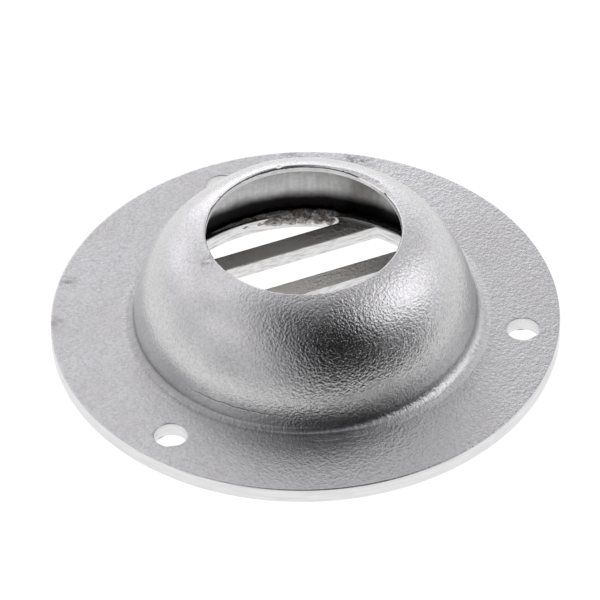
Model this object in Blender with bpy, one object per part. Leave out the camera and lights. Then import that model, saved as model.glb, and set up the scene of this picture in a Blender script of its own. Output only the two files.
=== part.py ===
"""Stanchion base: a pressed dome welded on a round plate, to carry an upright rail tube on a boat's deck.

The origin is the centre of the plate's underside, +Z points up the tube, and the stop bars run along X.
"""

import math

import bmesh
import bpy
from mathutils import Matrix

MM = 0.001
GAP = 0.3 * MM  # clearance that neighbouring solids keep
WELD_POINTS = 0.001 * MM  # points nearer than this are one point

# Base plate
PLATE_RADIUS = 40.0 * MM
PLATE_THICKNESS = 2.5 * MM
PLATE_EDGE_ROUNDING = 0.3 * MM
SCREW_CIRCLE_RADIUS = 34.3 * MM
SCREW_HOLE_RADIUS = 2.6 * MM
SCREW_ANGLES = [math.radians(angle) for angle in (90, 210, 330)]

# Centre opening of the plate, and the bars that cross it
OPENING_RADIUS = 23.9 * MM
BAR_WIDTH = 3.3 * MM
BAR_CENTRES = [y * MM for y in (-16.4, -6.3, 6.3, 16.4)]
SLOT_CORNER_RADIUS = 0.9 * MM

# Dome: a short straight foot, a wide arc up the side, and a tighter arc on to the bore
DOME_WALL = 1.2 * MM
DOME_FOOT_RADIUS = 26.2 * MM
DOME_FOOT_HEIGHT = 1.2 * MM
SIDE_ARC_RADIUS = 20.0 * MM
SIDE_ARC_END = math.radians(32)
LIP_ARC_RADIUS = 13.55 * MM
BORE_RADIUS = 15.2 * MM
BORE_EDGE = 0.2 * MM

# Welds
FILLET_TOE_RADIUS = 29.4 * MM
FILLET_HEIGHT = 2.2 * MM
FILLET_EDGE = 0.2 * MM
INNER_WELD_WIDTH = 0.75 * MM
INNER_WELD_HEIGHT = 1.0 * MM
INNER_WELD_CENTRES = [math.radians(angle) for angle in (80, 200, 320)]
INNER_WELD_SPAN = math.radians(54)

# Fineness of the round shapes
TURN_STEPS = 72
DRILL_SIDES = 32
SLOT_ARC_STEP = math.radians(5)
SIDE_ARC_POINTS = 8
LIP_ARC_POINTS = 8
FILLET_ARC_POINTS = 7


def clear_scene():
    for old in list(bpy.data.objects):
        bpy.data.objects.remove(old, do_unlink=True)


def steel(name, colour, roughness):
    """Bare stainless steel in one colour."""
    material = bpy.data.materials.new(name)
    material.use_nodes = True
    shader = material.node_tree.nodes["Principled BSDF"]
    shader.inputs["Base Color"].default_value = (*colour, 1.0)
    shader.inputs["Metallic"].default_value = 1.0
    shader.inputs["Roughness"].default_value = roughness
    return material


def object_from(shape, name, material=None):
    """Turns a bmesh into an object with outward faces, smooth where it is round."""
    bmesh.ops.recalc_face_normals(shape, faces=shape.faces)
    mesh = bpy.data.meshes.new(name)
    shape.to_mesh(mesh)
    shape.free()
    mesh.shade_smooth()
    mesh.set_sharp_from_angle(angle=math.radians(30))
    if material:
        mesh.materials.append(material)
    made = bpy.data.objects.new(name, mesh)
    bpy.context.scene.collection.objects.link(made)
    return made


def cut(piece, cutter):
    """Takes the cutter's shape out of the piece, and leaves the cutter as a wire guide."""
    cutter.hide_render = True
    cutter.display_type = "WIRE"
    modifier = piece.modifiers.new(cutter.name, "BOOLEAN")
    modifier.operation = "DIFFERENCE"
    modifier.solver = "EXACT"
    modifier.object = cutter


def arc(radius, start, end, count, centre=(0.0, 0.0)):
    """Evenly spaced points on a circle, from one angle to another, both ends included."""
    angles = [start + (end - start) * i / (count - 1) for i in range(count)]
    return [(centre[0] + radius * math.cos(a), centre[1] + radius * math.sin(a)) for a in angles]


def dome_profile(inset, inner_end):
    """The dome's outline at a depth below its outer skin, from the foot up to a given radius."""
    side_centre = (DOME_FOOT_RADIUS - SIDE_ARC_RADIUS, PLATE_THICKNESS + DOME_FOOT_HEIGHT)
    shift = SIDE_ARC_RADIUS - LIP_ARC_RADIUS
    lip_centre = (
        side_centre[0] + shift * math.cos(SIDE_ARC_END),
        side_centre[1] + shift * math.sin(SIDE_ARC_END),
    )
    lip_end = math.acos((inner_end - lip_centre[0]) / (LIP_ARC_RADIUS - inset))
    foot = (DOME_FOOT_RADIUS - inset, PLATE_THICKNESS + GAP)
    side = arc(SIDE_ARC_RADIUS - inset, 0.0, SIDE_ARC_END, SIDE_ARC_POINTS, side_centre)
    lip = arc(LIP_ARC_RADIUS - inset, SIDE_ARC_END, lip_end, LIP_ARC_POINTS, lip_centre)
    return [foot] + side + lip[1:]


def dome_radius_at(height):
    """Outer radius of the dome's side arc at a height above the plate's underside."""
    rise = height - PLATE_THICKNESS - DOME_FOOT_HEIGHT
    return DOME_FOOT_RADIUS - SIDE_ARC_RADIUS + math.sqrt(SIDE_ARC_RADIUS**2 - max(rise, 0.0) ** 2)


def prism(outline, low, high):
    """A straight block over a flat outline of (x, y) points."""
    shape = bmesh.new()
    floor = shape.faces.new([shape.verts.new((x, y, low)) for x, y in outline])
    raised = bmesh.ops.extrude_face_region(shape, geom=[floor], use_keep_orig=True)
    top = [item for item in raised["geom"] if isinstance(item, bmesh.types.BMVert)]
    bmesh.ops.translate(shape, verts=top, vec=(0, 0, high - low))
    return shape


def turned(profile):
    """A closed profile of (radius, height) points turned a full circle about Z."""
    shape = bmesh.new()
    points = [shape.verts.new((radius, 0.0, height)) for radius, height in profile]
    edges = [shape.edges.new(pair) for pair in zip(points, points[1:] + points[:1])]
    bmesh.ops.spin(
        shape, geom=points + edges, axis=(0, 0, 1), cent=(0, 0, 0), angle=2 * math.pi, steps=TURN_STEPS
    )
    bmesh.ops.remove_doubles(shape, verts=shape.verts, dist=WELD_POINTS)
    return shape


def part_turned(profile, middle, span):
    """A closed profile turned through only a part of a circle, with a flat face at each end."""
    steps = round(span / (2 * math.pi / TURN_STEPS))
    shape = bmesh.new()
    points = [shape.verts.new((radius, 0.0, height)) for radius, height in profile]
    edges = [shape.edges.new(pair) for pair in zip(points, points[1:] + points[:1])]
    start = Matrix.Rotation(middle - 0.5 * span, 3, "Z")
    bmesh.ops.rotate(shape, verts=points, cent=(0, 0, 0), matrix=start)
    bmesh.ops.spin(
        shape, geom=points + edges, axis=(0, 0, 1), cent=(0, 0, 0), angle=span, steps=steps
    )
    ends = [edge for edge in shape.edges if edge.is_boundary]
    bmesh.ops.holes_fill(shape, edges=ends, sides=0)
    return shape


def slot_arcs(low, high):
    """Start and end angle of each stretch of the opening's rim that bounds the slot between two heights in Y."""
    if high >= OPENING_RADIUS:
        start = math.asin(low / OPENING_RADIUS)
        return [(start, math.pi - start)]
    if low <= -OPENING_RADIUS:
        start = math.asin(high / OPENING_RADIUS)
        return [(math.pi - start, 2 * math.pi + start)]
    start, end = math.asin(low / OPENING_RADIUS), math.asin(high / OPENING_RADIUS)
    return [(start, end), (math.pi - end, math.pi - start)]


def slot_cutter(name, low, high):
    """A cutter for the slot between two heights in Y, with rounded corners where bar and rim meet."""
    shape = bmesh.new()
    outline, corners = [], []
    for start, end in slot_arcs(low, high):
        count = max(3, 1 + round((end - start) / SLOT_ARC_STEP))
        stretch = [
            shape.verts.new((x, y, -PLATE_THICKNESS)) for x, y in arc(OPENING_RADIUS, start, end, count)
        ]
        outline += stretch
        corners += [stretch[0], stretch[-1]]
    shape.faces.new(outline)
    bmesh.ops.bevel(
        shape, geom=corners, offset=SLOT_CORNER_RADIUS, segments=3, profile=0.5, affect="VERTICES"
    )
    raised = bmesh.ops.extrude_face_region(shape, geom=shape.faces[:], use_keep_orig=True)
    top = [item for item in raised["geom"] if isinstance(item, bmesh.types.BMVert)]
    bmesh.ops.translate(shape, verts=top, vec=(0, 0, 3 * PLATE_THICKNESS))
    return object_from(shape, name)


def slot_limits():
    """The heights in Y between which each slot lies: outside the bars and between neighbours."""
    lows = [-OPENING_RADIUS] + [centre + 0.5 * BAR_WIDTH for centre in BAR_CENTRES]
    highs = [centre - 0.5 * BAR_WIDTH for centre in BAR_CENTRES] + [OPENING_RADIUS]
    return list(zip(lows, highs))


def screw_drill(name, angle):
    """A round cutter through the plate at one screw hole."""
    x, y = SCREW_CIRCLE_RADIUS * math.cos(angle), SCREW_CIRCLE_RADIUS * math.sin(angle)
    ring = arc(SCREW_HOLE_RADIUS, 0, 2 * math.pi, DRILL_SIDES + 1, (x, y))[:-1]
    return object_from(prism(ring, -PLATE_THICKNESS, 2 * PLATE_THICKNESS), name)


def base_plate(material):
    """The flat plate with its screw holes, its slots, and the bars that the slots leave between them."""
    rim = arc(PLATE_RADIUS, 0, 2 * math.pi, TURN_STEPS + 1)[:-1]
    plate = object_from(prism(rim, 0.0, PLATE_THICKNESS), "base_plate", material)
    rounding = plate.modifiers.new("edge rounding", "BEVEL")
    rounding.width = PLATE_EDGE_ROUNDING
    rounding.segments = 2
    rounding.limit_method = "ANGLE"
    rounding.angle_limit = math.radians(60)
    for number, angle in enumerate(SCREW_ANGLES, 1):
        cut(plate, screw_drill(f"screw_drill_{number}", angle))
    for number, (low, high) in enumerate(slot_limits(), 1):
        cut(plate, slot_cutter(f"slot_cutter_{number}", low, high))
    return plate


def dome_shell(material):
    """The hollow dome: outer profile from the foot up, down through the straight bore, and back inside."""
    outer = dome_profile(0.0, BORE_RADIUS + BORE_EDGE)
    inner = dome_profile(DOME_WALL, BORE_RADIUS)
    edge = (BORE_RADIUS, outer[-1][1] - BORE_EDGE)
    return object_from(turned(outer + [edge] + inner[::-1]), "dome_shell", material)


def outer_fillet_weld(material):
    """The ring of weld in the corner between dome and plate, ground to a hollow face."""
    floor = PLATE_THICKNESS + GAP
    top = floor + FILLET_HEIGHT
    dome_side = [(dome_radius_at(height) + GAP, height) for height in (top, 0.5 * (top + floor), floor)]
    reach = FILLET_TOE_RADIUS - dome_side[0][0] - FILLET_EDGE
    rise = FILLET_HEIGHT - FILLET_EDGE
    hollow = [
        (FILLET_TOE_RADIUS - reach * math.cos(a), top - rise * math.sin(a))
        for a in (0.5 * math.pi * i / (FILLET_ARC_POINTS - 1) for i in range(FILLET_ARC_POINTS))
    ]
    toe = (FILLET_TOE_RADIUS, floor)
    return object_from(turned(dome_side + [toe] + hollow[::-1]), "outer_fillet_weld", material)


def inner_weld(number, middle, material):
    """One stitch of weld on the plate's ledge, against the dome's inner wall."""
    floor = PLATE_THICKNESS + GAP
    outside = DOME_FOOT_RADIUS - DOME_WALL - GAP
    inside = outside - INNER_WELD_WIDTH
    section = [
        (outside, floor),
        (outside - 0.05 * INNER_WELD_WIDTH, floor + INNER_WELD_HEIGHT),
        (outside - 0.55 * INNER_WELD_WIDTH, floor + 0.8 * INNER_WELD_HEIGHT),
        (outside - 0.9 * INNER_WELD_WIDTH, floor + 0.4 * INNER_WELD_HEIGHT),
        (inside, floor),
    ]
    return object_from(part_turned(section, middle, INNER_WELD_SPAN), f"inner_weld_{number}", material)


def main():
    clear_scene()
    base_plate(steel("blasted steel plate", (0.62, 0.62, 0.63), 0.42))
    dome_shell(steel("blasted steel dome", (0.60, 0.60, 0.61), 0.38))
    outer_fillet_weld(steel("ground weld", (0.66, 0.66, 0.67), 0.34))
    tinted = steel("heat tinted weld", (0.52, 0.47, 0.44), 0.55)
    for number, middle in enumerate(INNER_WELD_CENTRES, 1):
        inner_weld(number, middle, tinted)


main()
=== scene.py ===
"""The looks of the stanchion base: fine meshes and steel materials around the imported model.

Angles round the object are in degrees from +X towards +Y. The stop bars run along X.
"""

import math

import bmesh
import bpy
import numpy as np
from mathutils import Matrix, Vector, noise
from mathutils.geometry import delaunay_2d_cdt


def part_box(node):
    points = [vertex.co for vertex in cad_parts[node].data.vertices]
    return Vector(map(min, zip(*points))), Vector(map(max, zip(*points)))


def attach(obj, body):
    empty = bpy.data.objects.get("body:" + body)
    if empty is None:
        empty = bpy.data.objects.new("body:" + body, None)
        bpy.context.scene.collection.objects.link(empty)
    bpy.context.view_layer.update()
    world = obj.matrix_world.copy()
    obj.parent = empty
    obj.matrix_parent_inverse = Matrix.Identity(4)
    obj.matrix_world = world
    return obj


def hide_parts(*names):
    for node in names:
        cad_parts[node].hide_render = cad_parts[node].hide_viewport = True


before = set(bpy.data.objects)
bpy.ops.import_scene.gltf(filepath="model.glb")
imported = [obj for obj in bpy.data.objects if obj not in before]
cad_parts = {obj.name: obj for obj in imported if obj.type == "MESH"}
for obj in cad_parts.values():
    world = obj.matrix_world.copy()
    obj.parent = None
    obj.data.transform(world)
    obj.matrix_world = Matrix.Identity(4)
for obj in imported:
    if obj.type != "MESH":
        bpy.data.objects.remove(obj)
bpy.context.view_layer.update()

MM = 0.001

# Sizes read from the frame
PLATE_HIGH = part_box("base_plate")[1]
DOME_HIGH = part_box("dome_shell")[1]
FILLET_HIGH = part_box("outer_fillet_weld")[1]
PLATE_RADIUS = PLATE_HIGH.x
PLATE_TOP = PLATE_HIGH.z
DOME_FOOT_RADIUS = DOME_HIGH.x
FILLET_TOE_RADIUS = FILLET_HIGH.x

# Sizes of the design that the boxes don't show
SCREW_CIRCLE_RADIUS = 34.3 * MM
SCREW_HOLE_RADIUS = 2.6 * MM
SCREW_ANGLES = (90, 210, 330)
OPENING_RADIUS = 23.9 * MM
BAR_WIDTH = 3.3 * MM
BAR_CENTRES = [y * MM for y in (-16.4, -6.3, 6.3, 16.4)]
SLOT_CORNER_RADIUS = 0.9 * MM
DOME_WALL = 1.2 * MM
DOME_FOOT_HEIGHT = 1.2 * MM
SIDE_ARC_RADIUS = 20.0 * MM
SIDE_ARC_END = math.radians(32)
LIP_ARC_RADIUS = 13.55 * MM
FOOT_SWELL = 0.7 * MM
SWELL_HEIGHT = 12.5 * MM
BORE_RADIUS = 15.2 * MM
TIGHT_FILLET_RADIUS = 1.15 * MM
WIDE_FILLET_RADIUS = 2.2 * MM
WIDE_FILLET_MIDDLE = -15
WIDE_FILLET_REACH = 95
FILLET_RISE = 2.9 * MM
FILLET_UNDER = 0.08 * MM  # how far the fillet's foot reaches into the plate
FEATHER_UNDER = 0.012 * MM  # keeps the fillet's feather edge just under the plate's waves
WELD_SPAN = 54
WELD_CENTRES = {"inner_weld_1": 80, "inner_weld_2": 200, "inner_weld_3": 320}

# A stitch weld's section: how far it stands off the dome's inner wall and how high, in mm
WELD_FACE = (
    (-0.02, 3.1),
    (0.25, 3.25),
    (0.55, 3.2),
    (0.85, 2.95),
    (1.1, 2.6),
    (1.3, 2.2),
    (1.45, 1.8),
    (1.5, 1.45),
    (1.42, 1.1),
    (1.2, 0.8),
)
WELD_CORE_HEIGHT = 2.3 * MM
WELD_RIPPLE = 2.4 * MM
WELD_STEP = 0.12 * MM
WELD_START_TAPER = 1.6 * MM
WELD_END_TAPER = 6.0 * MM
WELD_THINNING = 0.38
WELD_ROUGHNESS = 0.17

# A burr on the ledge, over the end of a stop bar
BURR_RADIUS = 0.24 * MM
BURR_HEIGHT = 0.12 * MM
BURR_SWAY = 0.12 * MM
BURR_START = 27
BURR_SPAN = 27
BURR_STEPS = 120

# Finish of the edges
PLATE_EDGE = 0.25 * MM
PLATE_FOOT_EDGE = 0.15 * MM
HOLE_EDGE = 0.10 * MM
EDGE_GUARD = 0.2 * MM  # flat strip that keeps the flat face's shading away from its rounded edge
BORE_EDGE = 0.32 * MM

# The step that shearing leaves in a hole's wall: its depths and heights in mm
SHEAR_STEP = ((0.01, 1.15), (0.06, 1.0), (0.05, 0.5))

# The dent in the dome's shoulder
DENT_DEPTH = 0.42 * MM
DENT_RADIUS = 20.5 * MM
DENT_WIDTH = 3.2 * MM
DENT_MIDDLE = 110
DENT_REACH = 32
DENT_OVER = 9 * MM  # height that keeps the dent off the dome's inner foot

# The burr and the ground facet along the rim, and the fine part of the dome's lip beside it
RIM_WIDTH = 3 * MM
RIM_HEIGHT = 0.8 * MM
FINE_LIP_WIDTH = 2.4 * MM
RIM_BURR_MIDDLE = 131
RIM_BURR_REACH = 36
FACET_MIDDLE = 24
FACET_REACH = 38
FACET_SLOPE = 0.16

# Nicks in the rim: angle, radius, size and depth in mm
RIM_NICKS = ((21, 16.1, 0.45, 0.3), (81, 15.6, 0.35, 0.22), (182, 15.5, 0.7, 0.16), (60, 16.0, 0.3, 0.08))

# Smudges on the plate, and one beside the rim: place in mm, reach in mm, and strength
PLATE_STAINS = (
    ((22.3, 30.9, 2.5), 4.0, 0.85),
    ((13.0, 36.0, 2.5), 2.6, 0.8),
    ((-31.3, 22.4, 2.5), 2.4, 0.45),
    ((-36.9, 14.1, 2.5), 2.6, 0.4),
)
RIM_STAIN = ((-16.5, -0.8, 20.0), 1.8, 0.9)

# Fineness of the meshes
TURN_STEPS = 540
LOOP_STEP = 0.7 * MM
FACE_STEP = 1.1 * MM
FACE_MARGIN = 0.9 * MM
SHARP_ANGLE = 50

# Camera and light
CAMERA_TARGET = Vector((0.53, 3.35, 2.5)) * MM
CAMERA_AZIMUTH = -22.35
CAMERA_ELEVATION = 41.47
CAMERA_ROLL = -1.19
CAMERA_DISTANCE = 726.84 * MM
LENS = 276.7
SENSOR = 36.0
FLOOR_SIZE = 6.0
FLOOR_DROP = 0.02 * MM
FLOOR_LIGHT = 1.03
FLOOR_DIM_LIGHT = 0.25
FLOOR_DIM_SIDE = 25  # degrees to the right of the camera
FLOOR_LIT_TO = 84.0
FLOOR_DIM_FROM = 120.0


# ---------------------------------------------------------------- shapes


def waves(points, wavelength, seed):
    """Smooth noise from -1 to 1 at each point, with hills about one wavelength apart."""
    shift = Vector((seed * 7.3, seed * 3.1, seed * 5.7))
    return np.array([noise.noise(Vector(point) / wavelength + shift) for point in points])


def bump_at(angle, middle, reach):
    """1 at an angle round the object, fading to 0 at a reach of degrees to either side."""
    away = np.abs((angle - middle + 180) % 360 - 180) / reach
    return np.clip(1 - away, 0, 1) ** 2 * (3 - 2 * np.clip(1 - away, 0, 1))


def arc(centre, radius, start, end, count):
    """Evenly spaced points on a circle between two angles in radians, both ends included."""
    turn = np.linspace(start, end, count)
    return np.column_stack((centre[0] + radius * np.cos(turn), centre[1] + radius * np.sin(turn)))


def line(start, end, count):
    """Evenly spaced points from one point to another, both ends included."""
    return np.linspace(start, end, count)


def piece_from(name, points, faces, node, materials, face_materials=None):
    """A smooth shaded mesh that rides on the root body and stands for a CAD node."""
    mesh = bpy.data.meshes.new(name)
    mesh.from_pydata([tuple(point) for point in points], [], faces)
    for material in materials:
        mesh.materials.append(material)
    if face_materials is not None:
        mesh.polygons.foreach_set("material_index", face_materials)
    shape = bmesh.new()
    shape.from_mesh(mesh)
    bmesh.ops.recalc_face_normals(shape, faces=shape.faces)
    shape.to_mesh(mesh)
    shape.free()
    mesh.shade_smooth()
    mesh.set_sharp_from_angle(angle=math.radians(SHARP_ANGLE))
    piece = bpy.data.objects.new(name, mesh)
    bpy.context.scene.collection.objects.link(piece)
    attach(piece, "root")
    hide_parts(node)
    return piece


def turn_profile(profile, steps=TURN_STEPS, start=0.0, span=360.0):
    """Points [step, point, xyz] of a (radius, height) profile turned about Z, and each step's angle."""
    whole = span == 360.0
    angle = start + np.linspace(0, span, steps, endpoint=not whole)
    turn = np.radians(angle)
    radius, height = profile[:, 0], profile[:, 1]
    grid = np.empty((steps, len(profile), 3))
    grid[:, :, 0] = np.cos(turn)[:, None] * radius
    grid[:, :, 1] = np.sin(turn)[:, None] * radius
    grid[:, :, 2] = height
    return grid, angle


def grid_faces(steps, count, whole=True):
    """Quads of a closed profile of count points turned through a number of steps."""
    faces = []
    for step in range(steps if whole else steps - 1):
        after = (step + 1) % steps
        for i in range(count):
            j = (i + 1) % count
            faces.append((step * count + i, after * count + i, after * count + j, step * count + j))
    if not whole:
        faces.append(tuple(range(count)))
        faces.append(tuple((steps - 1) * count + i for i in range(count)))
    return faces


def profile_normals(profile):
    """Outward (radius, height) normals along a closed profile that climbs on its outer side."""
    along = np.roll(profile, -1, axis=0) - np.roll(profile, 1, axis=0)
    across = np.column_stack((along[:, 1], -along[:, 0]))
    return across / np.linalg.norm(across, axis=1)[:, None]


def push(grid, angle, normals, depth):
    """Moves the points of a turned grid along their profile normals by a depth [step, point]."""
    turn = np.radians(angle)[:, None]
    grid[:, :, 0] += np.cos(turn) * normals[:, 0] * depth
    grid[:, :, 1] += np.sin(turn) * normals[:, 0] * depth
    grid[:, :, 2] += normals[:, 1] * depth


def skin_waves(grid):
    """Hand finished steel: long soft waves and short shallow ones, in metres."""
    points = grid.reshape(-1, 3)
    depth = 0.035 * MM * waves(points, 11 * MM, 1) + 0.012 * MM * waves(points, 2.6 * MM, 2)
    return depth.reshape(grid.shape[:2])


def grain_waves(grid):
    """Orange peel, in metres."""
    points = grid.reshape(-1, 3)
    return (0.006 * MM * waves(points, 0.9 * MM, 3)).reshape(grid.shape[:2])


# ---------------------------------------------------------------- plate


def circle_loop(x, y, radius, outward):
    """A round outline as [point, (x, y)], with normals that point off the metal."""
    count = max(64, round(2 * math.pi * radius / LOOP_STEP))
    loop = arc((x, y), radius, 0, 2 * math.pi, count + 1)[:-1]
    normals = (loop - (x, y)) / radius
    return loop, normals if outward else -normals


def slot_loop(low, high):
    """The outline of the slot between two heights in Y, with rounded corners, and its normals."""
    inner = OPENING_RADIUS - SLOT_CORNER_RADIUS
    right = []
    if low > -OPENING_RADIUS:
        cy = low + SLOT_CORNER_RADIUS
        cx = math.sqrt(inner**2 - cy**2)
        right.append(arc((cx, cy), SLOT_CORNER_RADIUS, -math.pi / 2, math.atan2(cy, cx), 9))
        first = math.atan2(cy, cx)
    else:
        first = -math.pi / 2
    last = math.pi / 2
    if high < OPENING_RADIUS:
        cy = high - SLOT_CORNER_RADIUS
        cx = math.sqrt(inner**2 - cy**2)
        last = math.atan2(cy, cx)
    count = max(3, round((last - first) * OPENING_RADIUS / LOOP_STEP))
    right.append(arc((0, 0), OPENING_RADIUS, first, last, count)[1 if right else 0:])
    if high < OPENING_RADIUS:
        right.append(arc((cx, cy), SLOT_CORNER_RADIUS, last, math.pi / 2, 9)[1:])
    right = np.vstack(right)
    left = right[::-1] * (-1, 1)
    loop = [right]
    if high < OPENING_RADIUS:
        count = max(2, round(2 * right[-1][0] / LOOP_STEP))
        loop.append(line(right[-1], left[0], count)[1:-1])
        loop.append(left)
    else:
        loop.append(left[1:])
    if low > -OPENING_RADIUS:
        count = max(2, round(2 * right[0][0] / LOOP_STEP))
        loop.append(line(left[-1], right[0], count)[1:-1])
    else:
        loop[-1] = loop[-1][:-1]
    loop = np.vstack(loop)
    along = np.roll(loop, -1, axis=0) - np.roll(loop, 1, axis=0)
    outward = np.column_stack((along[:, 1], -along[:, 0]))
    return loop, -outward / np.linalg.norm(outward, axis=1)[:, None]


def slot_limits():
    """The heights in Y between which each slot lies: outside the bars and between neighbours."""
    lows = [-OPENING_RADIUS] + [centre + 0.5 * BAR_WIDTH for centre in BAR_CENTRES]
    highs = [centre - 0.5 * BAR_WIDTH for centre in BAR_CENTRES] + [OPENING_RADIUS]
    return list(zip(lows, highs))


def screw_places():
    """The middle of each screw hole."""
    return [
        (SCREW_CIRCLE_RADIUS * math.cos(math.radians(a)), SCREW_CIRCLE_RADIUS * math.sin(math.radians(a)))
        for a in SCREW_ANGLES
    ]


def edge_profile(top_edge, foot_edge, sheared):
    """(depth into the metal, height) down an edge of the plate, from its upper face to its lower one."""
    quarter = [math.radians(a) for a in (90, 67, 45, 22, 0)]
    down = [(top_edge + EDGE_GUARD, PLATE_TOP)]
    down += [
        (top_edge * (1 - math.cos(a)), PLATE_TOP - top_edge * (1 - math.sin(a))) for a in quarter
    ]
    if sheared:
        down += [(depth * MM, height * MM) for depth, height in SHEAR_STEP]
    down += [(foot_edge * (1 - math.cos(a)), foot_edge * (1 - math.sin(a))) for a in quarter[::-2]]
    return down + [(foot_edge + EDGE_GUARD, 0.0)]


def on_metal(x, y, margin=0.0):
    """Whether a place in the plate's outline is on metal, at least a margin away from its edges."""
    if math.hypot(x, y) > PLATE_RADIUS - margin:
        return False
    if any(math.hypot(x - sx, y - sy) < SCREW_HOLE_RADIUS + margin for sx, sy in screw_places()):
        return False
    if math.hypot(x, y) > OPENING_RADIUS + margin:
        return True
    return not any(low - margin < y < high + margin for low, high in slot_limits())


def face_points(margin):
    """Places in staggered rows over the plate's face, clear of its edges."""
    rows = int(PLATE_RADIUS / FACE_STEP) + 1
    places = [
        ((column + 0.5 * (row % 2)) * FACE_STEP, row * FACE_STEP * 0.87)
        for row in range(-rows - 6, rows + 7)
        for column in range(-rows, rows + 1)
    ]
    return [place for place in places if on_metal(*place, margin)]


def cap(points, rings):
    """Triangles over flat points whose edge rings are given as lists of indices."""
    edges = [pair for ring in rings for pair in zip(ring, ring[1:] + ring[:1])]
    made = delaunay_2d_cdt([Vector(point) for point in points], edges, [], 0, 1e-9)
    places, sources = made[0], made[3]
    faces = []
    for face in made[2]:
        middle = sum((places[i] for i in face), Vector((0, 0))) / len(face)
        if on_metal(middle.x, middle.y):
            faces.append([sources[i][0] for i in face])
    return faces


def plate_skin():
    """The plate's points and faces, and each face's material: 0 on its two faces, 1 on its cut edges."""
    hole_profile = edge_profile(HOLE_EDGE, HOLE_EDGE, True)
    outlines = [(circle_loop(0, 0, PLATE_RADIUS, True), edge_profile(PLATE_EDGE, PLATE_FOOT_EDGE, False))]
    for x, y in screw_places():
        outlines.append((circle_loop(x, y, SCREW_HOLE_RADIUS, False), hole_profile))
    for low, high in slot_limits():
        outlines.append((slot_loop(low, high), hole_profile))
    points, faces, side, tops, feet = [], [], [], [], []
    for (loop, normals), profile in outlines:
        start, count = len(points), len(loop)
        for depth, height in profile:
            for (x, y), (nx, ny) in zip(loop, normals):
                points.append((x - nx * depth, y - ny * depth, height))
        for k in range(len(profile) - 1):
            for i in range(count):
                j = (i + 1) % count
                a, b = start + k * count, start + (k + 1) * count
                faces.append((a + i, a + j, b + j, b + i))
                side.append(int(k > 2))
        tops.append([start + i for i in range(count)])
        feet.append([start + (len(profile) - 1) * count + i for i in range(count)])
    for rings, height, spots in ((tops, PLATE_TOP, face_points(FACE_MARGIN)), (feet, 0.0, [])):
        used = [index for ring in rings for index in ring]
        place_of = {index: i for i, index in enumerate(used)}
        local_rings = [[place_of[index] for index in ring] for ring in rings]
        flat = [points[index][:2] for index in used] + spots
        known = used + [len(points) + i for i in range(len(spots))]
        points += [(x, y, height) for x, y in spots]
        faces += [[known[i] for i in face] for face in cap(flat, local_rings)]
    side += [0] * (len(faces) - len(side))
    points = np.array(points)
    raised = (points[:, 2] / PLATE_TOP) ** 4
    flat_points = points * (1, 1, 0)
    points[:, 2] += raised * 0.012 * MM * waves(flat_points, 9 * MM, 4)
    points[:, 2] += raised * 0.003 * MM * waves(flat_points, 2.3 * MM, 5)
    return points, faces, side


# ---------------------------------------------------------------- dome


def dome_profile():
    """The dome's section, outside up, down the bore and inside back, and where its inner side starts."""
    side = np.array((DOME_FOOT_RADIUS - SIDE_ARC_RADIUS, PLATE_TOP + DOME_FOOT_HEIGHT))
    shift = SIDE_ARC_RADIUS - LIP_ARC_RADIUS
    lip = side + shift * np.array((math.cos(SIDE_ARC_END), math.sin(SIDE_ARC_END)))
    edge_end = math.acos((BORE_RADIUS + BORE_EDGE - lip[0]) / LIP_ARC_RADIUS)
    lip_split = math.acos((BORE_RADIUS + FINE_LIP_WIDTH - lip[0]) / LIP_ARC_RADIUS)
    outer = [
        line((DOME_FOOT_RADIUS, PLATE_TOP), (DOME_FOOT_RADIUS, side[1]), 4)[:-1],
        arc(side, SIDE_ARC_RADIUS, 0, SIDE_ARC_END, 42),
        arc(lip, LIP_ARC_RADIUS, SIDE_ARC_END, lip_split, 28)[1:],
        arc(lip, LIP_ARC_RADIUS, lip_split, edge_end, 26)[1:],
    ]
    top = outer[-1][-1]
    inner_end = math.acos((BORE_RADIUS - lip[0]) / (LIP_ARC_RADIUS - DOME_WALL))
    inner_lip = arc(lip, LIP_ARC_RADIUS - DOME_WALL, inner_end, SIDE_ARC_END, 26)
    inner_foot = DOME_FOOT_RADIUS - DOME_WALL
    bore_top = (BORE_RADIUS, top[1] - BORE_EDGE)
    inner = [
        arc((top[0], bore_top[1]), BORE_EDGE, math.pi / 2, math.pi, 5)[1:],
        line(bore_top, inner_lip[0], 6)[1:],
        inner_lip[1:],
        arc(side, SIDE_ARC_RADIUS - DOME_WALL, SIDE_ARC_END, 0, 28)[1:],
        line((inner_foot, side[1]), (inner_foot, PLATE_TOP), 4)[1:],
    ]
    skin = np.vstack(outer)
    low = np.clip(1 - (skin[:, 1] - PLATE_TOP) / SWELL_HEIGHT, 0, 1)
    skin[:, 0] += FOOT_SWELL * low**2 * (3 - 2 * low)
    return np.vstack([skin] + inner), len(skin)


def dome_skin():
    """The dome's points and faces, and each face's material: 0 outside, 1 inside."""
    profile, inner_start = dome_profile()
    normals = profile_normals(profile)
    grid, angle = turn_profile(profile)
    count = len(profile)
    outside = np.arange(count) < inner_start
    near_rim = np.clip((profile[:, 0] - BORE_RADIUS) / (2.0 * MM), 0.15, 1)
    push(grid, angle, normals, outside * near_rim * (skin_waves(grid) + grain_waves(grid)))
    push(grid, angle, normals, ~outside * 0.5 * skin_waves(grid))
    shoulder = np.exp(-(((profile[:, 0] - DENT_RADIUS) / DENT_WIDTH) ** 2)) * (profile[:, 1] > DENT_OVER)
    push(grid, angle, normals, -DENT_DEPTH * shoulder * bump_at(angle, DENT_MIDDLE, DENT_REACH)[:, None])
    shape_rim(grid, angle, profile, inner_start)
    faces = grid_faces(len(angle), count)
    side = np.tile(np.arange(count) >= inner_start, len(angle)).astype(int)
    return grid.reshape(-1, 3), faces, side


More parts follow.
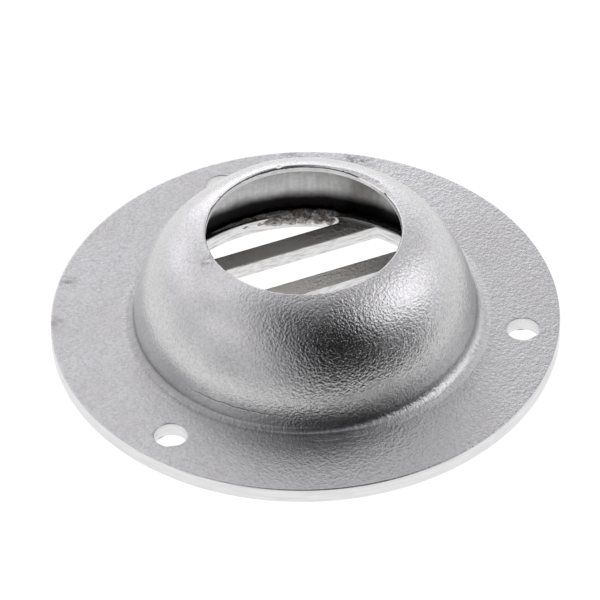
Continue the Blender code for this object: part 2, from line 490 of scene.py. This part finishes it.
def shape_rim(grid, angle, profile, inner_start):
    """A hand finished rim: a ground facet, a ragged bore edge with a burr, and nicks."""
    top = profile[inner_start - 1, 1]
    turn = np.radians(angle)[:, None]
    reach = np.hypot(grid[:, :, 0], grid[:, :, 1])
    rim = (reach < BORE_RADIUS + RIM_WIDTH) & (grid[:, :, 2] > top - RIM_HEIGHT)
    circle = np.column_stack((np.cos(turn), np.sin(turn), 0 * turn)) * BORE_RADIUS
    ragged = (waves(circle, 1.1 * MM, 6) + 0.6 * waves(circle, 0.45 * MM, 7))[:, None]
    closeness = np.clip(1 - np.abs(reach - BORE_RADIUS) / (0.5 * MM), 0, 1) * rim
    grid[:, :, 0] += np.cos(turn) * 0.05 * MM * ragged * closeness
    grid[:, :, 1] += np.sin(turn) * 0.05 * MM * ragged * closeness
    lip = np.clip(1 - np.abs(reach - BORE_RADIUS - 0.1 * MM) / (0.25 * MM), 0, 1) * rim
    burr = bump_at(angle, RIM_BURR_MIDDLE, RIM_BURR_REACH)[:, None]
    grid[:, :, 2] += burr * (0.13 * MM + 0.06 * MM * ragged) * lip
    for middle, radius, size, depth in RIM_NICKS:
        spot = np.array((math.cos(math.radians(middle)), math.sin(math.radians(middle)))) * radius * MM
        away = np.hypot(grid[:, :, 0] - spot[0], grid[:, :, 1] - spot[1]) / (size * MM)
        grid[:, :, 2] -= depth * MM * np.exp(-(away**2)) * rim
    facet = bump_at(angle, FACET_MIDDLE, FACET_REACH)[:, None]
    outer = BORE_RADIUS + (0.1 + 1.15 * facet) * MM
    rise = np.interp(outer[:, 0], profile[:inner_start, 0][::-1], profile[:inner_start, 1][::-1])[:, None]
    plane = rise - FACET_SLOPE * (outer - reach) + 0.02 * MM * ragged
    cut = rim & (reach < outer) & (facet > 0)
    grid[:, :, 2] = np.where(cut, np.minimum(grid[:, :, 2], plane), grid[:, :, 2])


# ---------------------------------------------------------------- welds


def fillet_profile(radius):
    """The fillet's section: a feather edge, a hollow arc, a steep face, and a back hidden in the dome."""
    dome_side = DOME_FOOT_RADIUS + 0.8 * FOOT_SWELL
    centre = (dome_side + 0.02 * MM + radius, PLATE_TOP + radius + 0.04 * MM)
    sweep = arc(centre, radius, math.radians(267), math.pi, 26)
    crease = (dome_side - 0.04 * MM, PLATE_TOP + FILLET_RISE)
    steep = line(sweep[-1], crease, 8)[1:]
    feather = line((FILLET_TOE_RADIUS, PLATE_TOP - FEATHER_UNDER), sweep[0], 10)[:-1]
    hidden = DOME_FOOT_RADIUS - 0.5 * DOME_WALL
    under = PLATE_TOP - FILLET_UNDER
    behind = [(dome_side - 0.4 * MM, crease[1] + 0.2 * MM), (hidden, crease[1]), (hidden, under)]
    return np.vstack(([(FILLET_TOE_RADIUS + 0.3 * MM, under)], feather, sweep, steep, behind))


def fillet_skin():
    """The ground fillet: tight on one side, and wider towards the other."""
    tight, wide = fillet_profile(TIGHT_FILLET_RADIUS), fillet_profile(WIDE_FILLET_RADIUS)
    grid, angle = turn_profile(tight)
    wide_grid = turn_profile(wide)[0]
    amount = np.clip(2.2 * bump_at(angle, WIDE_FILLET_MIDDLE, WIDE_FILLET_REACH), 0, 1)[:, None, None]
    grid += amount * (wide_grid - grid)
    shown = np.zeros(len(tight))
    shown[1:-3] = 1
    push(grid, angle, profile_normals(wide), shown * (skin_waves(grid) + 0.5 * grain_waves(grid)))
    return grid.reshape(-1, 3), grid_faces(len(angle), len(tight))


def smooth_closed(points, rounds):
    """A closed polygon with its corners cut again and again into a smooth curve."""
    for _ in range(rounds):
        after = np.roll(points, -1, axis=0)
        pairs = np.stack((0.75 * points + 0.25 * after, 0.25 * points + 0.75 * after), axis=1)
        points = pairs.reshape(-1, 2)
    return points


def swell(grid, angle, core, size):
    """Scales each section of a turned grid about a core (radius, height) by a size [step, point]."""
    turn = np.radians(angle)[:, None]
    radius = core[0] + (np.hypot(grid[:, :, 0], grid[:, :, 1]) - core[0]) * size
    grid[:, :, 0] = np.cos(turn) * radius
    grid[:, :, 1] = np.sin(turn) * radius
    grid[:, :, 2] = core[1] + (grid[:, :, 2] - core[1]) * size


def bead_skin(middle, seed):
    """A stitch weld: overlapping ripples over the ledge and down the opening's wall, thinner at one end."""
    length = math.radians(WELD_SPAN) * OPENING_RADIUS
    steps = round(length / WELD_STEP)
    wall = DOME_FOOT_RADIUS - DOME_WALL
    outline = [(wall - inward * MM, height * MM) for inward, height in WELD_FACE]
    back = [(OPENING_RADIUS + 0.3 * MM, 1.0 * MM), (wall - 0.3 * MM, 1.7 * MM), (wall + 0.2 * MM, 2.7 * MM)]
    profile = smooth_closed(np.array(outline + back), 2)
    grid, angle = turn_profile(profile, steps, middle - 0.5 * WELD_SPAN, WELD_SPAN)
    along = np.radians(angle - angle[0]) * OPENING_RADIUS
    spread = waves(np.column_stack((along, 0 * along, 0 * along)), 3.5 * MM, seed)
    phase = (along / WELD_RIPPLE + 0.35 * spread) % 1.0
    coin = np.sqrt(np.clip(1 - 0.85 * (2 * phase - 1) ** 2, 0, 1))
    ends = np.minimum(along / WELD_START_TAPER, (along[-1] - along) / WELD_END_TAPER)
    ends = np.clip(ends, 0.03, 1) ** 0.6
    thin = 1 - WELD_THINNING * np.clip((angle - middle + 3) / 9, 0, 1)
    rough = waves(grid.reshape(-1, 3), 0.8 * MM, seed + 1)
    rough += 0.5 * waves(grid.reshape(-1, 3), 0.35 * MM, seed + 2)
    size = (ends * thin * (0.8 + 0.28 * coin))[:, None]
    size = size * (1 + WELD_ROUGHNESS * rough.reshape(grid.shape[:2]))
    swell(grid, angle, (wall - 0.25 * MM, WELD_CORE_HEIGHT), size)
    return grid.reshape(-1, 3), grid_faces(steps, len(profile), whole=False)


def ledge_burr():
    """A thin raised burr along the opening's edge, over the end of a stop bar."""
    core = (OPENING_RADIUS - 0.05 * MM, PLATE_TOP + BURR_HEIGHT)
    section = arc(core, BURR_RADIUS, 0, 2 * math.pi, 13)[:-1]
    grid, angle = turn_profile(section, BURR_STEPS, BURR_START, BURR_SPAN)
    along = np.radians(angle) * OPENING_RADIUS
    rough = waves(np.column_stack((along, 0 * along, 0 * along)), 1.3 * MM, 41)
    ends = np.clip(np.minimum(along - along[0], along[-1] - along) / (1.5 * MM), 0.1, 1) ** 0.5
    swell(grid, angle, core, (ends * (1 + 0.35 * rough))[:, None])
    grid[:, :, 0] += (np.cos(np.radians(angle)) * BURR_SWAY * rough)[:, None]
    grid[:, :, 1] += (np.sin(np.radians(angle)) * BURR_SWAY * rough)[:, None]
    return grid.reshape(-1, 3), grid_faces(BURR_STEPS, len(section), whole=False)


# ---------------------------------------------------------------- materials

# All lengths in the materials are in mm.
STREAK_RADIUS = 25.0  # radius at which streaks have their true length
DUST_DEPTH = 0.012
# Side of the dome where the crease over the fillet gets painted shade
CREASE_SHADE_ANGLE = 222

# Each steel's tone, roughness, size of orange peel, the peel's depth on its fine and its coarse side, and
# the angle that the coarse side faces
STEELS = {
    "plate_steel": (0.62, 0.31, 0.46, 0.06, 0.23, -10),
    "cut_steel": (0.85, 0.45, 0.6, 0.02, 0.03, 0),
    "dome_outer_steel": (0.65, 0.26, 0.38, 0.055, 0.13, -50),
    "dome_inner_steel": (0.62, 0.36, 0.9, 0.03, 0.05, -50),
    "ground_weld_steel": (0.62, 0.33, 0.5, 0.055, 0.13, -10),
    "raw_weld_steel": (0.5, 0.42, 0.5, 0.08, 0.08, 0),
}

SMUDGE_COLOUR = (0.14, 0.13, 0.13, 1.0)
BAR_PAINTED_LIGHT_COLOUR = (0.95, 0.92, 0.87, 1.0)
CUT_STREAK_COLOUR = (0.42, 0.38, 0.37, 1.0)
CUT_EDGE_SHADE_COLOUR = (0.09, 0.08, 0.08, 1.0)
RIM_STAIN_COLOUR = (0.17, 0.13, 0.10, 1.0)
RIM_SHADE_LINE_COLOUR = (0.07, 0.06, 0.055, 1.0)
# Painted shade for the dome's inside near its welded foot
FOOT_SHADE_COLOUR = (0.006, 0.005, 0.005, 1.0)
HOLLOW_SHADE_COLOUR = (0.22, 0.22, 0.23, 1.0)
BEAD_BROWN = (0.26, 0.185, 0.15, 1.0)
BEAD_SCALE_COLOUR = (0.10, 0.08, 0.07, 1.0)


def add(tree, kind, inputs=None, **settings):
    """Adds a shader node, sets its properties, and sets or links its inputs."""
    made = tree.nodes.new(kind)
    for key, value in settings.items():
        setattr(made, key, value)
    for key, value in (inputs or {}).items():
        if isinstance(value, bpy.types.NodeSocket):
            tree.links.new(value, made.inputs[key])
        else:
            made.inputs[key].default_value = value
    return made


def maths(tree, operation, first, second):
    """A value worked out from two others."""
    return add(tree, "ShaderNodeMath", {0: first, 1: second}, operation=operation).outputs[0]


def times(tree, first, second):
    """The product of two values."""
    return maths(tree, "MULTIPLY", first, second)


def fit(tree, value, low, high, new_low, new_high):
    """Maps a value smoothly from one range to another and keeps it inside."""
    inputs = {"Value": value, 1: low, 2: high, 3: new_low, 4: new_high}
    return add(tree, "ShaderNodeMapRange", inputs, interpolation_type="SMOOTHSTEP").outputs[0]


def band(tree, value, start, full, fading, end):
    """1 from full to fading, and 0 below start and above end."""
    return times(tree, fit(tree, value, start, full, 0.0, 1.0), fit(tree, value, fading, end, 1.0, 0.0))


def grey(value, warmth=0.0):
    """A nearly neutral colour; warmth shifts it from blue to red."""
    return (value * (1 + warmth), value, value * (1 - warmth), 1.0)


def blend_of(tree, amount, first, second):
    """A mix of two colours."""
    return add(tree, "ShaderNodeMix", {0: amount, 6: first, 7: second}, data_type="RGBA").outputs[2]


def cloud(tree, place, wavelength, detail, roughness, seed):
    """A noise value from 0 to 1 with a wavelength in the units of its place."""
    inputs = {"Vector": place, "W": seed, "Scale": 1 / wavelength, "Detail": detail, "Roughness": roughness}
    return add(tree, "ShaderNodeTexNoise", inputs, noise_dimensions="4D").outputs["Fac"]


def in_mm(tree):
    """Object coordinates in millimetres."""
    place = add(tree, "ShaderNodeTexCoord").outputs["Object"]
    return add(tree, "ShaderNodeVectorMath", {0: place, "Scale": 1000.0}, operation="SCALE").outputs[0]


def height_of(tree, place):
    """How high a place lies."""
    return add(tree, "ShaderNodeSeparateXYZ", {0: place}).outputs[2]


def distance_of(tree, place, spot=(0.0, 0.0, 0.0)):
    """How far a place is from a spot."""
    return add(tree, "ShaderNodeVectorMath", {0: place, 1: spot}, operation="DISTANCE").outputs["Value"]


def flattened(tree, place):
    """The place brought down to the height of the origin."""
    return add(tree, "ShaderNodeVectorMath", {0: place, 1: (1.0, 1.0, 0.0)}, operation="MULTIPLY").outputs[0]


def along_way(tree, place, way):
    """How far a place lies in a direction."""
    return add(tree, "ShaderNodeVectorMath", {0: place, 1: way}, operation="DOT_PRODUCT").outputs["Value"]


def way_at(angle):
    """The level direction at an angle round the object."""
    return (math.cos(math.radians(angle)), math.sin(math.radians(angle)), 0.0)


def one_side(tree, place, middle):
    """1 on the side of the object that faces an angle, fading to 0 on the far side."""
    level = add(tree, "ShaderNodeVectorMath", {0: flattened(tree, place)}, operation="NORMALIZE").outputs[0]
    return fit(tree, along_way(tree, level, way_at(middle)), -0.35, 0.75, 0.0, 1.0)


def turned_place(tree, place, radial, axial):
    """Coordinates that run round the object, outwards and upwards, to draw noise out in streaks."""
    parts = add(tree, "ShaderNodeSeparateXYZ", {0: place}).outputs
    around = times(tree, maths(tree, "ARCTAN2", parts[1], parts[0]), STREAK_RADIUS)
    outwards = times(tree, distance_of(tree, flattened(tree, place)), radial)
    upwards = times(tree, parts[2], axial)
    return add(tree, "ShaderNodeCombineXYZ", {0: around, 1: outwards, 2: upwards}).outputs[0]


def bump_of(tree, height, depth, normal=None):
    """A bumped normal, on top of another one if that is given."""
    inputs = {"Height": height, "Strength": 1.0, "Distance": depth}
    if normal is not None:
        inputs["Normal"] = normal
    return add(tree, "ShaderNodeBump", inputs).outputs[0]


def steel(name):
    """Bare stainless steel with orange peel, deeper on one side. Returns it, its tree, place and colour."""
    tone, roughness, peel_size, fine_peel, coarse_peel, coarse_side = STEELS[name]
    material = bpy.data.materials.new(name)
    material.use_nodes = True
    tree = material.node_tree
    shader = tree.nodes["Principled BSDF"]
    shader.inputs["Metallic"].default_value = 1.0
    place = in_mm(tree)
    patches = fit(tree, cloud(tree, place, 9.0, 3.0, 0.55, 1.0), 0.3, 0.7, 0.0, 1.0)
    colour = blend_of(tree, patches, grey(tone * 0.96, 0.004), grey(tone * 1.04, -0.006))
    peel = cloud(tree, place, peel_size, 2.0, 0.55, 2.0)
    colour = blend_of(tree, fit(tree, peel, 0.25, 0.65, 0.0, 1.0), grey(tone * 0.81), colour)
    paint(tree, colour)
    sheen = fit(tree, cloud(tree, place, 6.0, 4.0, 0.6, 3.0), 0.3, 0.7, roughness - 0.04, roughness + 0.04)
    tree.links.new(sheen, shader.inputs["Roughness"])
    depth = fit(tree, one_side(tree, place, coarse_side), 0.0, 1.0, fine_peel, coarse_peel)
    dust = times(tree, cloud(tree, place, 0.22, 1.0, 0.5, 4.0), DUST_DEPTH)
    relief = maths(tree, "ADD", times(tree, peel, depth), dust)
    tree.links.new(bump_of(tree, relief, MM), shader.inputs["Normal"])
    return material, tree, place, colour


def paint(tree, colour):
    """Makes a colour the steel's own."""
    tree.links.new(colour, tree.nodes["Principled BSDF"].inputs["Base Color"])


def carve(tree, height, depth):
    """Adds a bump to the steel's relief."""
    normal = tree.nodes["Principled BSDF"].inputs["Normal"]
    tree.links.new(bump_of(tree, height, depth, normal.links[0].from_socket), normal)


def stain(tree, place, colour, spot, reach, strength, dark):
    """Darkens a colour round a spot, broken up by noise."""
    near = fit(tree, distance_of(tree, place, spot), 0.0, reach, 1.0, 0.0)
    broken = fit(tree, cloud(tree, place, 0.9, 3.0, 0.6, 11.0), 0.4, 0.6, 0.0, strength)
    return blend_of(tree, times(tree, near, broken), colour, dark)


def wandering(tree, value, noise_value, amount):
    """A value pushed up by noise, so that what follows it has an uneven edge."""
    return maths(tree, "ADD", value, times(tree, noise_value, amount))


def plate_steel():
    """Blasted plate, darker on one side as painted shade, with stop bars painted in a lighter, warm tone as
    painted light, and a few dark smudges near its rim.
    """
    material, tree, place, colour = steel("plate_steel")
    for spot, reach, strength in PLATE_STAINS:
        colour = stain(tree, place, colour, spot, reach, strength, SMUDGE_COLOUR)
    # Painted light: the stop bars' tops get a lighter, warm tone in place of the light on them
    bars_painted_light = fit(tree, distance_of(tree, place), 23.6, 24.2, 1.0, 0.0)
    colour = blend_of(tree, bars_painted_light, colour, BAR_PAINTED_LIGHT_COLOUR)
    # Painted shade: the plate is blended towards dark grey on the side facing -40 degrees
    painted_shade_side = maths(tree, "POWER", one_side(tree, place, -40), 4.0)
    paint(tree, blend_of(tree, times(tree, painted_shade_side, 0.5), colour, grey(0.42)))
    return material


def cut_steel():
    """The plate's cut edges, painted bright as painted light, streaked in the opening, with a dark line of
    painted shade along the upper edge.
    """
    material, tree, place, _ = steel("cut_steel")
    reach = distance_of(tree, place)
    marks = cloud(tree, turned_place(tree, place, 1.0, 7.0), 3.0, 4.0, 0.6, 12.0)
    # Painted light: the cut walls take a much lighter tone than the plate's faces
    colour = blend_of(tree, fit(tree, marks, 0.3, 0.7, 0.0, 1.0), grey(0.83), grey(0.74))
    in_opening = fit(tree, reach, 24.5, 26.0, 1.0, 0.0)
    streaks = times(tree, fit(tree, marks, 0.42, 0.72, 0.0, 0.6), in_opening)
    colour = blend_of(tree, streaks, colour, CUT_STREAK_COLOUR)
    # Painted shade: a dark line just under the upper edge of the holes and slots, at half strength, left off
    # the plate's outer rim
    off_rim = fit(tree, reach, 37.5, 38.0, 0.5, 0.0)
    top_edge_shade = fit(tree, wandering(tree, height_of(tree, place), marks, 0.3), 2.35, 2.6, 0.0, 1.0)
    paint(tree, blend_of(tree, times(tree, top_edge_shade, off_rim), colour, CUT_EDGE_SHADE_COLOUR))
    return material


def dome_outer_steel():
    """The dome's outside: coarse orange peel, a short crease over the fillet, carved as a shallow groove and
    darkened with painted shade, and a brown stain at the rim.
    """
    material, tree, place, colour = steel("dome_outer_steel")
    # Painted shade: a dark line along the crease over the fillet on one side; the shallow groove carved
    # under it is real relief
    level = wandering(tree, height_of(tree, place), cloud(tree, place, 1.8, 3.0, 0.6, 14.0), 1.2)
    crease_shade = band(tree, level, 5.85, 5.97, 6.03, 6.15)
    crease_shade = times(tree, crease_shade, fit(tree, along_way(tree, place, way_at(CREASE_SHADE_ANGLE)), 25.2, 26.4, 0.0, 0.75))
    colour = blend_of(tree, crease_shade, colour, grey(0.2))
    paint(tree, stain(tree, place, colour, *RIM_STAIN, RIM_STAIN_COLOUR))
    carve(tree, crease_shade, -0.06 * MM)
    return material


def dome_inner_steel():
    """The dome's inside: a bore painted bright as painted light with a line of painted shade along its top,
    streaks below it, painted shade near the welded foot, and a darker band without metal at the top on the
    camera's side.
    """
    material, tree, place, colour = steel("dome_inner_steel")
    height = height_of(tree, place)
    streaks = cloud(tree, turned_place(tree, place, 0.1, 0.06), 0.7, 3.0, 0.6, 5.0)
    colour = blend_of(tree, fit(tree, streaks, 0.3, 0.7, 0.0, 0.4), colour, grey(0.34))
    level = wandering(tree, height, cloud(tree, place, 1.2, 3.0, 0.6, 13.0), 0.5)
    # Painted light: the bore above about 19 mm is painted nearly white
    colour = blend_of(tree, fit(tree, level, 18.9, 19.1, 0.0, 1.0), colour, grey(0.9))
    # Painted shade: a thin dark line along the top edge of the bore
    edge = band(tree, level, 19.95, 20.03, 20.08, 20.2)
    colour = blend_of(tree, edge, colour, RIM_SHADE_LINE_COLOUR)
    # Painted shade: the inside is painted nearly black up to about 6 to 9 mm high, with an uneven upper edge
    uneven = wandering(tree, height, cloud(tree, place, 5.0, 3.0, 0.5, 6.0), 1.6)
    colour = blend_of(tree, fit(tree, uneven, 5.9, 8.9, 1.0, 0.0), colour, FOOT_SHADE_COLOUR)
    # Darker and without metal at the top of the bore on the camera's side
    dark_bore_top = times(tree, fit(tree, height, 19.5, 19.7, 0.0, 1.0), one_side(tree, place, -112))
    paint(tree, blend_of(tree, dark_bore_top, colour, grey(0.22)))
    metal_off_bore_top = maths(tree, "SUBTRACT", 1.0, dark_bore_top)
    tree.links.new(metal_off_bore_top, tree.nodes["Principled BSDF"].inputs["Metallic"])
    return material


def ground_weld_steel():
    """The ground fillet: short grinding marks across it, and painted shade darkening its hollow."""
    material, tree, place, colour = steel("ground_weld_steel")
    marks = cloud(tree, turned_place(tree, place, 0.14, 0.14), 0.22, 2.0, 0.6, 7.0)
    # Painted shade: the fillet's hollow next to the dome is darkened, its edge broken up by the grinding
    # marks
    hairy = wandering(tree, distance_of(tree, flattened(tree, place)), marks, 1.6)
    wider = fit(tree, one_side(tree, place, -30), 0.0, 1.0, 0.25, -0.5)
    hollow = fit(tree, maths(tree, "SUBTRACT", hairy, wider), 27.9, 29.3, 0.55, 0.0)
    paint(tree, blend_of(tree, hollow, colour, HOLLOW_SHADE_COLOUR))
    carve(tree, marks, 0.05 * MM)
    return material


def raw_weld_steel():
    """The stitch welds: raw beads, brown and straw with heat tint."""
    material, tree, place, colour = steel("raw_weld_steel")
    blotch = cloud(tree, place, 1.0, 4.0, 0.65, 8.0)
    colour = blend_of(tree, fit(tree, blotch, 0.42, 0.6, 0.0, 0.85), colour, BEAD_BROWN)
    scale = cloud(tree, place, 0.5, 3.0, 0.65, 9.0)
    paint(tree, blend_of(tree, fit(tree, scale, 0.52, 0.66, 0.0, 0.85), colour, BEAD_SCALE_COLOUR))
    return material


# ---------------------------------------------------------------- stage


def facing(azimuth, elevation):
    """The direction from the object to a viewer; azimuth 0 is a viewer at -Y, and 90 one at +X."""
    a, e = math.radians(azimuth), math.radians(elevation)
    return Vector((math.sin(a) * math.cos(e), -math.cos(a) * math.cos(e), math.sin(e)))


def make_camera():
    """The photo's camera, a long lens aimed near the plate's middle."""
    data = bpy.data.cameras.new("camera")
    data.lens = LENS
    data.sensor_width = SENSOR
    data.clip_end = 20.0
    camera = bpy.data.objects.new("camera", data)
    back = facing(CAMERA_AZIMUTH, CAMERA_ELEVATION)
    right = Vector((0, 0, 1)).cross(back).normalized()
    turned = Matrix((right, back.cross(right), back)).transposed().to_4x4()
    turned = turned @ Matrix.Rotation(math.radians(CAMERA_ROLL), 4, "Z")
    camera.matrix_world = Matrix.Translation(CAMERA_TARGET + back * CAMERA_DISTANCE) @ turned
    bpy.context.scene.collection.objects.link(camera)
    bpy.context.scene.camera = camera


def make_floor():
    """A light table: pale, lit evenly from within, and dimmer out of view on the camera's side."""
    half = 0.5 * FLOOR_SIZE
    mesh = bpy.data.meshes.new("floor")
    corners = [(-half, -half), (half, -half), (half, half), (-half, half)]
    mesh.from_pydata([(x, y, -FLOOR_DROP) for x, y in corners], [], [(0, 1, 2, 3)])
    material = bpy.data.materials.new("floor")
    material.use_nodes = True
    tree = material.node_tree
    shader = tree.nodes["Principled BSDF"]
    shader.inputs["Base Color"].default_value = grey(0.0)
    shader.inputs["Specular IOR Level"].default_value = 0.0
    shader.inputs["Emission Color"].default_value = grey(1.0)
    along = along_way(tree, in_mm(tree), facing(CAMERA_AZIMUTH + FLOOR_DIM_SIDE, 0))
    light = fit(tree, along, FLOOR_LIT_TO, FLOOR_DIM_FROM, FLOOR_LIGHT, FLOOR_DIM_LIGHT)
    tree.links.new(light, shader.inputs["Emission Strength"])
    mesh.materials.append(material)
    floor = bpy.data.objects.new("floor", mesh)
    bpy.context.scene.collection.objects.link(floor)


# Soft boxes of the studio: azimuth to the right of the camera, elevation, reach and brightness.
# There is none from just left of the camera to far right of it, so the dome's front stays dark.
SOFT_BOXES = (
    (180, 3, 36, 1.35),
    (150, 0, 30, 0.65),
    (-150, 5, 36, 0.75),
    (-120, 5, 36, 0.55),
    (-90, 5, 36, 0.45),
    (-54, 12, 38, 0.48),
    (-18, 2, 28, 0.55),
    (105, 5, 30, 0.3),
    (120, 5, 36, 0.6),
    (180, 40, 36, 0.65),
    (-130, 40, 36, 0.65),
    (-90, 40, 36, 0.4),
    (-50, 40, 36, 0.47),
    (93, 39, 34, 1.45),
    (130, 40, 36, 0.4),
    (180, 70, 36, 0.3),
    (-110, 66, 34, 0.3),
)
ROOM_LIGHT = 0.008
ROOM_COLOUR = (0.995, 0.977, 1.015, 1.0)


def make_room():
    """A dark studio with soft boxes to both sides, behind and above."""
    world = bpy.data.worlds.new("studio")
    world.use_nodes = True
    tree = world.node_tree
    direction = add(tree, "ShaderNodeTexCoord").outputs["Generated"]
    level = ROOM_LIGHT
    for azimuth, elevation, reach, brightness in SOFT_BOXES:
        near = along_way(tree, direction, facing(CAMERA_AZIMUTH + azimuth, elevation))
        glow = fit(tree, near, math.cos(math.radians(reach)), 1.0, 0.0, brightness)
        level = maths(tree, "ADD", level, glow)
    background = tree.nodes["Background"]
    tree.links.new(level, background.inputs["Strength"])
    background.inputs["Color"].default_value = ROOM_COLOUR
    bpy.context.scene.world = world
    bpy.context.scene.view_settings.view_transform = "Standard"


# ---------------------------------------------------------------- all together


def make_pieces():
    """Every visible piece, each on the CAD node that it stands for."""
    points, faces, side = plate_skin()
    cut = cut_steel()
    piece_from("plate_skin", points, faces, "base_plate", [plate_steel(), cut], side)
    points, faces = ledge_burr()
    piece_from("plate_burr", points, faces, "base_plate", [cut])
    points, faces, side = dome_skin()
    materials = [dome_outer_steel(), dome_inner_steel()]
    piece_from("dome_skin", points, faces, "dome_shell", materials, side)
    points, faces = fillet_skin()
    piece_from("fillet_skin", points, faces, "outer_fillet_weld", [ground_weld_steel()])
    raw = raw_weld_steel()
    for seed, (node, middle) in enumerate(WELD_CENTRES.items(), 20):
        points, faces = bead_skin(middle, seed)
        piece_from(f"{node}_bead", points, faces, node, [raw])


make_camera()
make_floor()
make_room()
make_pieces()
